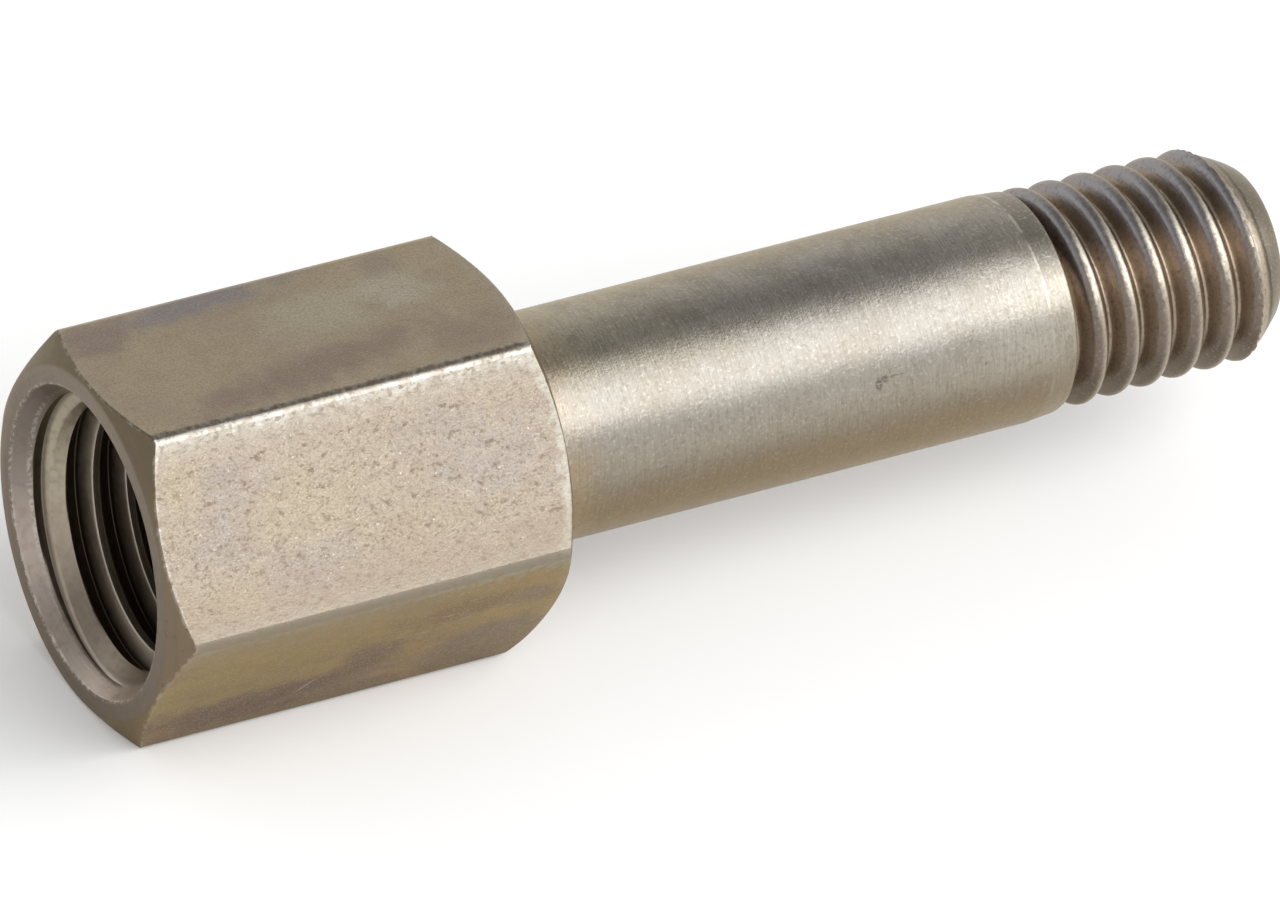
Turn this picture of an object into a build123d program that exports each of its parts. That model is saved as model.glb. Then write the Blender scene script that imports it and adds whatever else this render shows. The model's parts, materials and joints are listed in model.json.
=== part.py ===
"""Threaded extension: a hexagon body with a tapped socket, a plain round shank and a stud for a thread.

It is turned from one length of hexagon bar, so it is one solid. It lies along X, with the middle of the
socket's mouth at the origin, the stud towards +X and one flat of the hexagon facing down. Lengths are in
millimetres and angles in degrees. The two screw threads are left plain here: the socket has the circle of
its thread's crests and the stud has its thread's outside diameter.
"""

import os
from math import radians, sqrt, tan

from build123d import *

# Hexagon body: drawn bar with slightly rounded corners, its two ends turned to a cone
hex_across_flats = 10.0
hex_length = 12.2
hex_corner_radius = 0.3
hex_face_inset = 0.1
hex_chamfer_angle = 30.0

# Socket: drilled, countersunk and tapped from the near end
socket_diameter = 7.1
socket_depth = 9.0
socket_mouth_depth = 1.4
socket_mouth_angle = 60.0
drill_point_angle = 118.0

# Shank: plain turned length, with a slightly tapered land before the stud
shank_diameter = 6.35
shank_length = 16.3
shank_root_radius = 0.3
land_length = 0.75
land_taper = 0.075
land_bevel_length = 0.1

# Stud: turned to the thread's outside diameter, with a bevelled end
stud_diameter = 6.0
stud_length = 6.9
stud_end_diameter = 4.4
stud_bevel_angle = 45.0

# Places along the axis
shank_end = hex_length + shank_length
stud_end = shank_end + stud_length
land_start = shank_end - land_length

# Radii and the lengths of the cones
hex_corner_reach = hex_across_flats / sqrt(3)
hex_face_radius = hex_across_flats / 2 - hex_face_inset
hex_chamfer_length = (hex_corner_reach - hex_face_radius) * tan(radians(hex_chamfer_angle))
socket_radius = socket_diameter / 2
socket_mouth_radius = socket_radius + socket_mouth_depth * tan(radians(socket_mouth_angle / 2))
drill_point_length = socket_radius / tan(radians(drill_point_angle / 2))
shank_radius = shank_diameter / 2
land_end_radius = shank_radius - land_taper
stud_radius = stud_diameter / 2
stud_end_radius = stud_end_diameter / 2
stud_bevel_length = (stud_radius - stud_end_radius) * tan(radians(stud_bevel_angle))

with BuildPart() as threaded_extension:
    # The hexagon bar, with flats facing up and down
    with BuildSketch(Plane.YZ) as bar_section:
        RegularPolygon(radius=hex_across_flats / 2, side_count=6, major_radius=False)
        fillet(bar_section.vertices(), radius=hex_corner_radius)
    extrude(amount=hex_length)

    # Turning both ends to a cone leaves a round end face and a curved edge on each flat
    with BuildSketch(Plane.XY):
        with BuildLine():
            Polyline(
                (0, 0),
                (0, hex_face_radius),
                (hex_chamfer_length, hex_corner_reach),
                (hex_length - hex_chamfer_length, hex_corner_reach),
                (hex_length, hex_face_radius),
                (hex_length, 0),
                close=True,
            )
        make_face()
    revolve(axis=Axis.X, mode=Mode.INTERSECT)

    # The shank and the stud are one turned outline, flared where it leaves the hexagon
    with BuildSketch(Plane.XY):
        with BuildLine():
            root_flare = CenterArc(
                center=(hex_length + shank_root_radius, shank_radius + shank_root_radius),
                radius=shank_root_radius,
                start_angle=180,
                arc_size=90,
            )
            Polyline(
                root_flare @ 1,
                (land_start, shank_radius),
                (shank_end - land_bevel_length, land_end_radius),
                (shank_end, stud_radius),
                (stud_end - stud_bevel_length, stud_radius),
                (stud_end, stud_end_radius),
                (stud_end, 0),
                (hex_length, 0),
                root_flare @ 0,
            )
        make_face()
    revolve(axis=Axis.X)

    # The blind socket: countersunk mouth, crest circle of the thread and the drill's cone
    with BuildSketch(Plane.XY):
        with BuildLine():
            Polyline(
                (0, 0),
                (0, socket_mouth_radius),
                (socket_mouth_depth, socket_radius),
                (socket_depth, socket_radius),
                (socket_depth + drill_point_length, 0),
                close=True,
            )
        make_face()
    revolve(axis=Axis.X, mode=Mode.SUBTRACT)

threaded_extension.part.label = "threaded_extension"

os.makedirs("parts", exist_ok=True)
export_step(threaded_extension.part, "parts/threaded_extension.step")
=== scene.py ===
# %% [markdown]
# # A threaded extension
# A short steel rod that lengthens a screwed joint. It has a hexagon body for the spanner with a tapped
# socket in its end, then a plain round shank, then a threaded stud. It is turned from one length of
# hexagon bar, so this lesson models one closed skin. The CAD frame is loaded first and keeps its place;
# everything below is fitted over it and takes its main sizes from it.

import json
from math import atan2, cos, degrees, exp, hypot, pi, radians, sin, sqrt, tan

import bmesh
import bpy
from mathutils import Matrix, Vector


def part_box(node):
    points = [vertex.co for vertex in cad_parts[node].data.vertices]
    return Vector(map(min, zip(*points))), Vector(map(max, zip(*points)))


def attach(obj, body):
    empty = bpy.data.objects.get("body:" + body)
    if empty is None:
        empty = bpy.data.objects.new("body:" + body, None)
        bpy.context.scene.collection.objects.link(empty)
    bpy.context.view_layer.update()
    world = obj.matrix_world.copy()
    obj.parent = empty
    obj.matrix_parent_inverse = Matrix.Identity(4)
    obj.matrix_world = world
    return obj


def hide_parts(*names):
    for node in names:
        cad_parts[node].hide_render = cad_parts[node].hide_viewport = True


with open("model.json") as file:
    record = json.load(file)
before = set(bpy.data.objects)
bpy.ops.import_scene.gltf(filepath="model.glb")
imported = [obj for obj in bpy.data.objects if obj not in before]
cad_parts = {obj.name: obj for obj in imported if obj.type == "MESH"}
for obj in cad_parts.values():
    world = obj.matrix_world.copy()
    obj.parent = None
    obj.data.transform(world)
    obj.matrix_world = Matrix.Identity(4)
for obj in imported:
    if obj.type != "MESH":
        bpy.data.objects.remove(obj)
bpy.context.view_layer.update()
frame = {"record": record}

low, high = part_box("threaded_extension")
mounts = {mount["name"]: mount for mount in frame["record"]["mounts"]}
part_length = (high[0] - low[0]) * 1000
across_flats = (high[2] - low[2]) * 1000
hexagon_length = mounts["shoulder_face"]["pos_m"][0] * 1000
stud_radius = mounts["stud"]["dims"]["r_mm"]
socket_crest = mounts["socket"]["dims"]["r_mm"]
print("part", round(part_length, 2), "mm long,", round(across_flats, 2), "mm across flats")

# %% [markdown]
# ## Edit tools
# The part is only 35 mm long, and Blender's bevel, bisect and merge tools are tuned to things of about a
# unit. So it is modelled with one unit to the millimetre and shrunk to metres at the end. The axis is X,
# the socket's mouth is at zero and a flat faces up. Three helpers do what a hand does with the mouse: open
# a piece in edit mode, select by place or direction, and select the flat face at an end.

# %% edit tools
slack = 0.001


def open_mesh(piece):
    """Opens one piece in edit mode with nothing selected."""
    if bpy.context.mode != "OBJECT":
        bpy.ops.object.mode_set(mode="OBJECT")
    bpy.ops.object.select_all(action="DESELECT")
    piece.select_set(True)
    bpy.context.view_layer.objects.active = piece
    bpy.ops.object.mode_set(mode="EDIT")
    bpy.ops.mesh.select_all(action="DESELECT")


def pick(piece, kind, test):
    """Selects the verts, edges or faces of the open mesh that pass a test, and says how many there are."""
    mode = {"verts": "VERT", "edges": "EDGE", "faces": "FACE"}[kind]
    bpy.ops.mesh.select_mode(type=mode)
    bpy.ops.mesh.select_all(action="DESELECT")
    mesh = bmesh.from_edit_mesh(piece.data)
    chosen = [item for item in getattr(mesh, kind) if test(item)]
    for item in chosen:
        item.select_set(True)
    bmesh.update_edit_mesh(piece.data)
    return len(chosen)


def pick_end(piece, side, place):
    """Selects the flat face that looks along the axis at one place, and gives its radius."""

    def at_end(face):
        return face.normal.x * side > 1 - slack and abs(face.calc_center_median().x - place) < slack

    pick(piece, "faces", at_end)
    end = [face for face in bmesh.from_edit_mesh(piece.data).faces if face.select][0]
    return hypot(end.verts[0].co.y, end.verts[0].co.z)


print("modelling in millimetres, places agree within", slack)

# %% [markdown]
# ## Hexagon body
# The real body is drawn hexagon bar, and the drawing die leaves its corners slightly rounded. It could be a
# profile that is extruded, but a six-sided cylinder with its six long edges bevelled gives the same section
# in two steps. It is made a little too long, so that the turned blank decides both ends.

# %% hexagon bar
bar_corner = across_flats / sqrt(3)
bar_spare = 2
corner_round, corner_cuts = 0.2, 6
bpy.ops.object.select_all(action="DESELECT")
bpy.ops.mesh.primitive_cylinder_add(
    vertices=6,
    radius=bar_corner,
    depth=hexagon_length + bar_spare,
    location=(hexagon_length / 2, 0, 0),
    rotation=(0, pi / 2, 0),
)
body = bpy.context.object
body.name = "threaded_extension_body"
bpy.ops.object.transform_apply(location=True, rotation=True, scale=True)
open_mesh(body)
pick(body, "edges", lambda edge: abs(edge.verts[0].co.x - edge.verts[1].co.x) > hexagon_length)
bpy.ops.mesh.bevel(offset=corner_round, segments=corner_cuts, profile=0.5, affect="EDGES")
bpy.ops.object.mode_set(mode="OBJECT")
print("hexagon bar", len(body.data.polygons), "faces")

# %% [markdown]
# A lathe turns both ends of the bar to a 30 degree cone, which leaves a round end face and a curved edge on
# each flat. Drawing those curves by hand would be slow and never exact. A round blank with coned ends,
# intersected with the bar, cuts them all at once.

# %% turned ends
columns = 240
blank_radius = 6.2
face_radius = 4.9
chamfer_angle = radians(30)
cone_length = (blank_radius - face_radius) * tan(chamfer_angle)
blank_half = hexagon_length / 2 - cone_length


def grow_ring(step, factor):
    """Extrudes the selected round face along the axis and scales its ring."""
    bpy.ops.mesh.extrude_region_move(TRANSFORM_OT_translate={"value": (step, 0, 0)})
    bpy.ops.transform.resize(value=(1, factor, factor), center_override=(0, 0, 0))


bpy.ops.object.select_all(action="DESELECT")
bpy.ops.mesh.primitive_cylinder_add(
    vertices=columns,
    radius=blank_radius,
    depth=2 * blank_half,
    location=(hexagon_length / 2, 0, 0),
    rotation=(0, pi / 2, 0),
)
blank = bpy.context.object
bpy.ops.object.transform_apply(location=True, rotation=True, scale=True)
open_mesh(blank)
for side in (-1, 1):
    pick_end(blank, side, hexagon_length / 2 + side * blank_half)
    grow_ring(side * cone_length, face_radius / blank_radius)
bpy.ops.object.mode_set(mode="OBJECT")
bpy.ops.object.select_all(action="DESELECT")
body.select_set(True)
bpy.context.view_layer.objects.active = body
turning = body.modifiers.new("turned ends", "BOOLEAN")
turning.operation = "INTERSECT"
turning.solver = "EXACT"
turning.object = blank
bpy.ops.object.modifier_apply(modifier=turning.name)
bpy.data.objects.remove(blank)
print("turned body", len(body.data.polygons), "faces")

# %% [markdown]
# Handling in a bin of parts knocks every sharp rim blunt. The rims are picked by their angle and bevelled
# narrowly, so that they catch a line of light. A bevel where many edges meet can throw a point outwards, so
# points are held inside the rounded corners. One far corner is knocked further in than the rest: its points
# slip back along the axis, less and less with their distance from the blow.

# %% blunt rims
sharp_angle = radians(22)
rim_round, rim_cuts = 0.055, 3
corner_reach = bar_corner - (2 - sqrt(3)) * corner_round
knock_y, knock_z = -bar_corner / 2, -across_flats / 2
knock_depth, knock_reach, knock_span = 0.38, 0.55, 1
open_mesh(body)
bpy.ops.mesh.select_mode(type="EDGE")
bpy.ops.mesh.edges_select_sharp(sharpness=sharp_angle)
bpy.ops.mesh.bevel(offset=rim_round, segments=rim_cuts, profile=0.5, affect="EDGES")
print("blunt rims", sum(face.select for face in bmesh.from_edit_mesh(body.data).faces), "faces")
for vertex in bmesh.from_edit_mesh(body.data).verts:
    over = hypot(vertex.co.y, vertex.co.z) / corner_reach
    if over > 1:
        vertex.co.y /= over
        vertex.co.z /= over
    outside = hypot(vertex.co.y, vertex.co.z) > across_flats / 2
    if outside and vertex.co.x > hexagon_length - knock_span:
        away = hypot(vertex.co.y - knock_y, vertex.co.z - knock_z)
        vertex.co.x -= knock_depth * exp(-away / knock_reach)

# %% [markdown]
# ## Shank
# The round shank is turned from the same bar, so it grows out of the far end face: that face is inset to
# the foot of the shank and extruded ring by ring. The rings are the small flare at the foot, the plain
# length, the shallow mark of the tool, the tapered land and the blunt end. Extruding keeps the body and the
# shank one skin, where two pieces would need a join.

# %% shank rings
shank_radius = 3.175
root_flare, flare_steps = 0.3, 6
land_start, shank_end = 27.75, 28.6
land_radius = 3.105
plain_rings = (16, 20, 24)
mark_reach, mark_edge, mark_depth = 0.03, 0.008, 0.012
land_blunting = ((0.16, 0), (0.08, 0.012), (0.03, 0.035), (0, 0.075))

rings = [(hexagon_length, shank_radius + root_flare)]
for step in range(1, flare_steps + 1):
    turn = pi / 2 * step / flare_steps
    rings.append((hexagon_length + root_flare * (1 - cos(turn)), shank_radius + root_flare * (1 - sin(turn))))
rings += [(place, shank_radius) for place in (*plain_rings, land_start - mark_reach)]
rings.append((land_start, shank_radius - mark_edge))
rings.append((land_start + mark_reach, shank_radius - mark_depth))
rings += [(shank_end - back, land_radius - drop) for back, drop in land_blunting]

far_radius = pick_end(body, 1, hexagon_length)
bpy.ops.mesh.inset(thickness=far_radius - shank_radius - root_flare)
for (x0, r0), (x1, r1) in zip(rings, rings[1:]):
    grow_ring(x1 - x0, r1 / r0)
bpy.ops.mesh.delete(type="ONLY_FACE")
print("shank", len(rings), "rings")

# %% [markdown]
# The socket is countersunk, so it opens in a ring that is wider than its thread. The near end face is inset
# to that ring and deleted. This leaves an open loop of edges, and the thread's own skin is joined to it
# later. A Boolean could bore the hole as well, but the thread is wound apart, and two open loops are
# simple to bridge.

# %% socket mouth
socket_middle = mounts["socket"]["pos_m"][0] * 1000
socket_wall = mounts["socket"]["dims"]["length_mm"]
mouth_slope = tan(radians(30))
mouth_radius = socket_crest + (socket_middle - socket_wall / 2) * mouth_slope
mouth_lip = 0.03
near_radius = pick_end(body, -1, 0)
bpy.ops.mesh.inset(thickness=near_radius - mouth_radius - mouth_lip)
bpy.ops.mesh.delete(type="ONLY_FACE")
bpy.ops.object.mode_set(mode="OBJECT")
print("mouth", round(2 * mouth_radius, 2), "mm wide, body", len(body.data.vertices), "vertices")

# %% [markdown]
# ## Threads
# Both threads have a pitch of one millimetre, 60 degree flanks and a right-hand turn. One pitch of the
# section is drawn as a line from root to root and wound up by the Screw modifier. Each turn ends where the
# one before it began, so merging the doubles makes one skin. A strip of ridges could be wrapped round the
# axis instead, but then each ridge would have to be matched with the next one at the seam.

# %% thread section
pitch = 1.0
flank_slope = radians(60)
arc_points = 6


def thread_section(crest, root, crest_round, root_round, crest_flat, root_flat, flank_cuts):
    """One pitch of a 60 degree thread as (place along the axis, radius), from root to root."""
    turns = [flank_slope * step / (arc_points - 1) for step in range(arc_points)]
    half = [(0, crest)]
    for turn in turns:
        half.append((crest_flat / 2 + crest_round * sin(turn), crest - crest_round * (1 - cos(turn))))
    foot = []
    for turn in reversed(turns):
        foot.append(((pitch - root_flat) / 2 - root_round * sin(turn), root + root_round * (1 - cos(turn))))
    (x0, r0), (x1, r1) = half[-1], foot[0]
    for cut in range(1, flank_cuts + 1):
        share = cut / (flank_cuts + 1)
        half.append((x0 + (x1 - x0) * share, r0 + (r1 - r0) * share))
    half += foot + [(pitch / 2, root)]
    half = half[:1] + [after for before, after in zip(half, half[1:]) if abs(after[0] - before[0]) > slack]
    return [(-x, r) for x, r in reversed(half)] + half[1:]


print("pitch", pitch, "mm, flanks at", round(degrees(flank_slope)), "degrees")

# %% [markdown]
# Four more helpers finish a thread: winding, cutting it square, moving its points in or out, and closing
# its end. The moves follow a rule in place, radius and turn. The turn is counted from the top and jumps
# from one end of its range to the other at a seam behind and below the part, where it shows least.

# %% thread tools
weld = 0.0005
cut_slack = 0.00001
seam_turn = 128


def wind_thread(name, section, first, turns, steps):
    """Winds a section into a right-handed skin along X, with a crest at the first place above the axis."""
    mesh = bpy.data.meshes.new(name)
    line = [(count, count + 1) for count in range(len(section) - 1)]
    mesh.from_pydata([(first + x, 0, r) for x, r in section], line, [])
    skin = bpy.data.objects.new(name, mesh)
    bpy.context.collection.objects.link(skin)
    bpy.ops.object.select_all(action="DESELECT")
    skin.select_set(True)
    bpy.context.view_layer.objects.active = skin
    screw = skin.modifiers.new("thread", "SCREW")
    screw.axis = "X"
    screw.angle = 2 * pi
    screw.screw_offset = pitch
    screw.iterations = turns
    screw.steps = steps
    screw.render_steps = steps
    bpy.ops.object.modifier_apply(modifier=screw.name)
    open_mesh(skin)
    bpy.ops.mesh.select_all(action="SELECT")
    bpy.ops.mesh.remove_doubles(threshold=weld)
    return skin


def trim_thread(start, end):
    """Cuts the open skin square at both ends."""
    for place, cleared in ((start, {"clear_inner": True}), (end, {"clear_outer": True})):
        bpy.ops.mesh.select_all(action="SELECT")
        bpy.ops.mesh.bisect(plane_co=(place, 0, 0), plane_no=(1, 0, 0), threshold=cut_slack, **cleared)


def reshape(skin, radius_at):
    """Moves each vertex of the open skin to the radius that a rule gives for its place, radius and turn."""
    mesh = bmesh.from_edit_mesh(skin.data)
    for vertex in mesh.verts:
        radius = hypot(vertex.co.y, vertex.co.z)
        turn = (degrees(atan2(-vertex.co.y, vertex.co.z)) + seam_turn) % 360 - seam_turn
        wanted = radius_at(vertex.co.x, radius, turn)
        vertex.co.y *= wanted / radius
        vertex.co.z *= wanted / radius
    bmesh.update_edit_mesh(skin.data)


def close_end(skin, place):
    """Fills the open skin's hole at one place along the axis."""

    def open_there(edge):
        return edge.is_boundary and all(abs(vertex.co.x - place) < slack for vertex in edge.verts)

    pick(skin, "edges", open_there)
    bpy.ops.mesh.edge_face_add()


print("threads are wound, merged within", weld, "mm, trimmed, reshaped and closed")

# %% [markdown]
# The stud's thread is rolled, so its crests are well rounded and stand a little higher near the shank,
# where the metal has nowhere to go. Its end is bevelled, and the last groove runs out into the bevel. A
# rule that moves each vertex in or out does all three, because it can follow the turn of the helix, which a
# plain cut can't.

# %% stud thread
stud_crest_round, stud_root_round = 0.26, 0.1
sharp_height = 0.866 * pitch
stud_root = stud_radius - (sharp_height - stud_crest_round - stud_root_round)
stud_end_radius = 2.2
first_root = shank_end + 0.05
last_crest = first_root + 5.5 * pitch
raised, shoulder_rise, shoulder_reach = 0.02, 0.07, 4
start_radius = land_radius - 0.09
runout_turn, runout_rise, runout_curve = 70, 0.75, 0.75
bevel_lip, bevel_slope = 0.04, 0.85
stud_section = thread_section(
    crest=stud_radius,
    root=stud_root,
    crest_round=stud_crest_round,
    root_round=stud_root_round,
    crest_flat=0,
    root_flat=0,
    flank_cuts=3,
)
stud = wind_thread("stud", stud_section, first_root - 1.5 * pitch, turns=10, steps=120)
trim_thread(shank_end, part_length)


def stud_rule(x, r, turn):
    """Raised crests, a start that climbs from the land, a last groove that fills up, and a bevelled end."""
    if x > part_length - slack:
        return stud_end_radius
    extra = raised + shoulder_rise * max(0, 1 - (x - shank_end) / shoulder_reach)
    r = r + extra * (r - stud_root) / (stud_radius - stud_root)
    r = min(r, start_radius + (x - shank_end))
    crest = last_crest + pitch * turn / 360
    if x > crest:
        filled = min(1, max(0, (turn + seam_turn) / runout_turn))
        slope = (part_length - x) / (part_length - crest)
        r += (stud_end_radius + runout_rise * slope**runout_curve - r) * filled
    return min(r, stud_end_radius + bevel_lip + bevel_slope * (part_length - x))


reshape(stud, stud_rule)
close_end(stud, part_length)
bpy.ops.object.mode_set(mode="OBJECT")
print("stud thread", len(stud.data.polygons), "faces")

# %% [markdown]
# The socket is drilled, countersunk and then tapped. Its section is drawn upside down and turned over, so
# that the crests point inwards. The countersink wins wherever it is wider than the thread, the tap's last
# turns fade out, and the bottom is poked to the cone that a drill leaves. The flanks have extra cuts, so
# that the line where the thread runs out into the countersink stays smooth.

# %% socket thread
socket_root = 4.07
socket_depth = socket_middle + socket_wall / 2
socket_crest_place = 0.463
skin_start = 0.02
tap_end, tap_fade = 8.2, 0.8
drill_tip = 2.13
socket_section = thread_section(
    crest=-socket_crest,
    root=-socket_root,
    crest_round=0.04,
    root_round=0.05,
    crest_flat=0.15,
    root_flat=0.19,
    flank_cuts=7,
)
socket_section = [(x, -r) for x, r in socket_section]
socket = wind_thread("socket", socket_section, socket_crest_place - 3 * pitch, turns=14, steps=112)
trim_thread(skin_start, socket_depth)


def socket_rule(x, r, turn):
    """A thread that fades out at the bottom, and never narrower than the countersink."""
    fade = min(1, max(0, (tap_end - x) / tap_fade))
    r = socket_crest + (r - socket_crest) * fade
    return max(r, mouth_radius - x * mouth_slope)


reshape(socket, socket_rule)
close_end(socket, socket_depth)
bottom = [face for face in bmesh.from_edit_mesh(socket.data).faces if face.select][0]
bpy.ops.mesh.poke(offset=drill_tip if bottom.normal.x > 0 else -drill_tip)
bpy.ops.object.mode_set(mode="OBJECT")
print("socket thread", len(socket.data.polygons), "faces")

# %% [markdown]
# On the real part all of this is one piece of steel, and so it becomes one skin here. The three skins are
# joined, and each thread's open loop is bridged to the loop left open for it in the body. Shading is smooth
# but for real edges, and weighted normals let each wide flat keep an even shade up to its blunt rims.

# %% one skin
seam_reach = 0.03
crease_angle = radians(35)
bpy.ops.object.select_all(action="DESELECT")
for skin in (stud, socket, body):
    skin.select_set(True)
bpy.context.view_layer.objects.active = body
bpy.ops.object.join()
open_mesh(body)
for seam in (shank_end, skin_start / 2):
    found = pick(body, "edges", lambda edge: edge.is_boundary and abs(edge.verts[0].co.x - seam) < seam_reach)
    bpy.ops.mesh.bridge_edge_loops()
    print("bridged", found, "edges at", seam)
left_open = pick(body, "edges", lambda edge: not edge.is_manifold)
bpy.ops.mesh.select_all(action="SELECT")
bpy.ops.mesh.normals_make_consistent(inside=False)
bpy.ops.object.mode_set(mode="OBJECT")
body.scale = (0.001, 0.001, 0.001)
bpy.ops.object.transform_apply(scale=True)
bpy.ops.object.shade_smooth_by_angle(angle=crease_angle)
even = body.modifiers.new("even flats", "WEIGHTED_NORMAL")
even.keep_sharp = True
bpy.ops.object.modifier_apply(modifier=even.name)
body.data.calc_loop_triangles()
print("skin", len(body.data.loop_triangles), "triangles,", left_open, "open edges")

# %% [markdown]
# ## Finishes
# The steel has a thin zinc coat, passivated to an olive grey that breaks into gold, lavender and brown
# where the film is thicker. Five finishes share that coat: drawn flats, turned ends, turned shank, rolled
# stud and tapped socket. Each is a metal whose colour is laid in thin layers, so a small class holds the
# shader tree and the colour so far. All patterns read places on the part, never the camera, and so they
# stay put in every view.

# %% shader tools
glance_tint = (1, 0.95, 0.86, 1)


def add(tree, kind, inputs, **settings):
    """Adds a shader node; each input is a plain value or another node's output."""
    node = tree.nodes.new(kind)
    for name, value in settings.items():
        setattr(node, name, value)
    for name, value in inputs.items():
        if isinstance(value, bpy.types.NodeSocket):
            tree.links.new(value, node.inputs[name])
        else:
            node.inputs[name].default_value = value
    return node


class Finish:
    """One steel finish: its shader tree, places on the part in millimetres, and the colour laid so far."""

    def __init__(self, name, colour):
        self.material = bpy.data.materials.new(name)
        self.material.use_nodes = True
        self.tree = self.material.node_tree
        self.shader = self.tree.nodes["Principled BSDF"]
        self.shader.inputs["Metallic"].default_value = 1
        self.shader.inputs["Specular Tint"].default_value = glance_tint
        metres = add(self.tree, "ShaderNodeTexCoord", {}).outputs["Object"]
        scaled = {"Vector": metres, "Scale": (1000, 1000, 1000)}
        self.place = add(self.tree, "ShaderNodeMapping", scaled).outputs[0]
        self.x, self.y, self.z = add(self.tree, "ShaderNodeSeparateXYZ", {0: self.place}).outputs
        squares = self.plus(self.times(self.y, self.y), self.times(self.z, self.z))
        self.radius = self.math("POWER", squares, 0.5)
        self.colour = (*colour, 1)

    def math(self, operation, *values):
        return add(self.tree, "ShaderNodeMath", dict(enumerate(values)), operation=operation).outputs[0]

    def each(self, operation, first, others):
        """Works one sum through several values, two at a time."""
        for other in others:
            first = self.math(operation, first, other)
        return first

    def times(self, first, *others):
        return self.each("MULTIPLY", first, others)

    def plus(self, first, *others):
        return self.each("ADD", first, others)

    def least(self, first, *others):
        return self.each("MINIMUM", first, others)

    def most(self, first, *others):
        return self.each("MAXIMUM", first, others)

    def minus(self, first, second):
        return self.math("SUBTRACT", first, second)

    def size(self, value):
        return self.math("ABSOLUTE", value)

    def along(self, y_share, z_share):
        """How far a place lies along a direction across the axis."""
        return self.plus(self.times(self.y, y_share), self.times(self.z, z_share))

    def fade(self, value, start, end):
        """Rises softly from none at the start to one at the end."""
        inputs = {"Value": value, "From Min": start, "From Max": end}
        return add(self.tree, "ShaderNodeMapRange", inputs, interpolation_type="SMOOTHSTEP").outputs[0]

    def about(self, value, centre, none, full):
        """Fades with the distance from one value: none at the first distance, full at the second."""
        return self.fade(self.size(self.minus(value, centre)), none, full)

    def cloud(self, scale, detail=2, stretch=(1, 1, 1), shift=(0, 0, 0)):
        """Noise of about that many lumps to the millimetre, shifted and stretched."""
        inputs = {"Vector": self.place, "Location": shift}
        place = add(self.tree, "ShaderNodeMapping", inputs).outputs[0]
        place = add(self.tree, "ShaderNodeMapping", {"Vector": place, "Scale": stretch}).outputs[0]
        inputs = {"Vector": place, "Scale": scale, "Detail": detail}
        return add(self.tree, "ShaderNodeTexNoise", inputs).outputs[0]

    def ragged(self, value, amount, scale=3):
        """Shifts a distance to and fro by noise, so that what it borders gets a ragged edge."""
        return self.plus(value, self.times(self.minus(self.cloud(scale, 4), 0.5), amount))

    def patch(self, centre, reach, turn=(0, 0, 0), ragged=1.2):
        """A soft stain about a place: one in its middle and none past its reach."""
        turn = tuple(radians(angle) for angle in turn)
        inputs = {"Vector": self.place, "Location": centre, "Rotation": turn, "Scale": reach}
        near = add(self.tree, "ShaderNodeMapping", inputs, vector_type="TEXTURE").outputs[0]
        far = add(self.tree, "ShaderNodeVectorMath", {0: near}, operation="LENGTH").outputs["Value"]
        return self.fade(self.ragged(far, ragged, 1.5), 1.1, 0.3)

    def hairlines(self, along, across, detail=3):
        """Fine turning marks that run round the axis."""
        inputs = {0: along, 1: self.times(self.y, across), 2: self.times(self.z, across)}
        spread = add(self.tree, "ShaderNodeCombineXYZ", inputs).outputs[0]
        inputs = {"Vector": spread, "Scale": 1, "Detail": detail}
        return add(self.tree, "ShaderNodeTexNoise", inputs).outputs[0]

    def lay(self, amount, colour):
        """Lays a colour over what is there, as far as the amount says."""
        inputs = {0: amount, 6: self.colour, 7: (*colour, 1)}
        self.colour = add(self.tree, "ShaderNodeMix", inputs, data_type="RGBA").outputs[2]

    def mottle(self, amount, colour, thick, scale, detail, **spread):
        """Lays a colour in the thick parts of a cloud."""
        self.lay(self.times(self.fade(self.cloud(scale, detail, **spread), *thick), amount), colour)

    def stain(self, amount, colour, centre, reach, turn=(0, 0, 0), ragged=1.2):
        """Lays a colour in a soft patch."""
        self.lay(self.times(self.patch(centre, reach, turn, ragged), amount), colour)

    def finish(self, roughness, height, depth):
        """Sets the gloss and a relief of up to so many micrometres."""
        self.tree.links.new(self.colour, self.shader.inputs["Base Color"])
        self.tree.links.new(roughness, self.shader.inputs["Roughness"])
        inputs = {"Height": height, "Distance": depth / 1000000, "Strength": 1}
        self.tree.links.new(add(self.tree, "ShaderNodeBump", inputs).outputs[0], self.shader.inputs["Normal"])
        print("finish", self.material.name, len(self.tree.nodes), "nodes")


print("finishes share a tint of", glance_tint[:3], "at grazing angles")

# %% [markdown]
# The flats come straight from the drawing die. The upper one is olive grey with a bluish streak along its
# far edge, a brown band across it and a paler far end. The marks could be painted as a picture, but a
# picture has a fixed sharpness and needs unwrapping. Instead each stain is a soft patch, which the shader
# works out from its place, reach and angle on the flat.

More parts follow.
